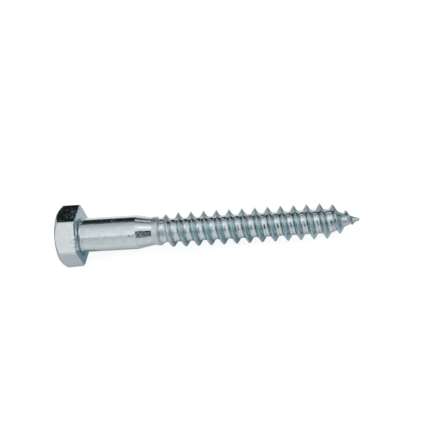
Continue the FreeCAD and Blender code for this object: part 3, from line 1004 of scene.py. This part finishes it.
END_SKY = [
    (-180, 0.48), (-175, 0.55), (-170, 0.61), (-165, 0.54), (-162, 0.36), (-159, 0.29), (-153, 0.29),
    (-140, 0.42), (-110, 0.56), (-80, 0.60), (-50, 0.62), (-20, 0.60),
    (0, 0.64), (15, 0.74), (30, 0.84), (50, 0.92), (70, 0.85), (90, 0.70), (110, 0.44), (130, 0.32),
    (150, 0.36), (162, 0.42), (170, 0.39), (176, 0.37),
]
left_sky = ramp(fac, LEFT_SKY)
middle_sky = ramp(fac, MIDDLE_SKY)
side_sky = ramp(fac, SIDE_SKY)
sky = blend(ease(lean, -0.15, 0.02), left_sky, middle_sky)
aside = ease(math_node("ABSOLUTE", math_node("ADD", lean, 0.09)), 0.27, 0.52)
sky = blend(aside, sky, side_sky)
# a little dimmer below, straight in front of the threaded half
low_front = nt.nodes.new("ShaderNodeMix")
low_front.data_type = "RGBA"
low_front.blend_type = "MULTIPLY"
low_front.inputs[7].default_value = (0.74, 0.76, 0.77, 1)
link(math_node("MULTIPLY", math_node("MULTIPLY", ease(lean, -0.13, -0.06), ease(lean, 0.02, -0.005)),
               ease(sep.outputs["Z"], 0.05, -0.45)), low_front.inputs[0])
link(sky, low_front.inputs[6])
sky = low_front.outputs[2]
# the front towards the right-hand end is dimmer
facing = math_node("COSINE", turn_about)
front = math_node("MULTIPLY", ease(lean, 0.10, 0.45), ease(facing, 0.80, 0.97))
dim = nt.nodes.new("ShaderNodeMix")
dim.data_type = "RGBA"
dim.blend_type = "MULTIPLY"
dim.inputs[7].default_value = (0.60, 0.64, 0.66, 1)
link(front, dim.inputs[0])
link(sky, dim.inputs[6])
sky = dim.outputs[2]
# the near panel fades towards the left-hand end
fade = nt.nodes.new("ShaderNodeMix")
fade.data_type = "RGBA"
fade.blend_type = "MULTIPLY"
fade.inputs[7].default_value = (0.87, 0.855, 0.845, 1)
link(math_node("MULTIPLY", ease(lean, -0.20, -0.27), ease(facing, 0.55, 0.85)), fade.inputs[0])
link(sky, fade.inputs[6])
sky = fade.outputs[2]
# level light off the left-hand end, darker off the right-hand end at the back
sky = blend(ease(lean, -0.42, -0.58), sky, ramp(fac, END_SKY))
far_end = nt.nodes.new("ShaderNodeMix")
far_end.data_type = "RGBA"
far_end.blend_type = "MULTIPLY"
far_end.inputs[7].default_value = (0.66, 0.70, 0.72, 1)
link(math_node("MULTIPLY", ease(lean, -0.80, -0.87), ease(facing, 0.1, -0.3)), far_end.inputs[0])
link(sky, far_end.inputs[6])
sky = far_end.outputs[2]
back_end = nt.nodes.new("ShaderNodeMix")
back_end.data_type = "RGBA"
back_end.blend_type = "MULTIPLY"
back_end.inputs[7].default_value = (0.60, 0.66, 0.70, 1)
link(math_node("MULTIPLY", ease(lean, 0.52, 0.74), ease(facing, 0.25, -0.25)), back_end.inputs[0])
link(sky, back_end.inputs[6])
sky = back_end.outputs[2]

# a shaded spot behind the head, seen in the underhead fillet
to_spot = nt.nodes.new("ShaderNodeVectorMath")
to_spot.operation = "DOT_PRODUCT"
link(coord.outputs["Generated"], to_spot.inputs[0])
to_spot.inputs[1].default_value = (0.11, 0.95, -0.28)
spot = nt.nodes.new("ShaderNodeRGB")
spot.outputs[0].default_value = (0.48, 0.53, 0.55, 1)
sky = blend(ease(to_spot.outputs["Value"], 0.955, 0.985), sky, spot.outputs[0])
# a pale sheet low behind the head, seen in the bearing face
to_sheet = nt.nodes.new("ShaderNodeVectorMath")
to_sheet.operation = "DOT_PRODUCT"
link(coord.outputs["Generated"], to_sheet.inputs[0])
to_sheet.inputs[1].default_value = (0.249, 0.837, -0.488)
sheet = nt.nodes.new("ShaderNodeRGB")
sheet.outputs[0].default_value = (0.48, 0.55, 0.58, 1)
sky = blend(ease(to_sheet.outputs["Value"], 0.9943, 0.9965), sky, sheet.outputs[0])

bg = nt.nodes.new("ShaderNodeBackground")
link(sky, bg.inputs["Color"])
white = nt.nodes.new("ShaderNodeBackground")
white.inputs["Color"].default_value = (1, 1, 1, 1)
white.inputs["Strength"].default_value = 1.0
path = nt.nodes.new("ShaderNodeLightPath")
mixer = nt.nodes.new("ShaderNodeMixShader")
link(path.outputs["Is Camera Ray"], mixer.inputs["Fac"])
link(bg.outputs["Background"], mixer.inputs[1])
link(white.outputs["Background"], mixer.inputs[2])
wout = nt.nodes.new("ShaderNodeOutputWorld")
link(mixer.outputs["Shader"], wout.inputs["Surface"])

bpy.context.scene.view_settings.view_transform = "Standard"
bpy.context.scene.view_settings.look = "None"
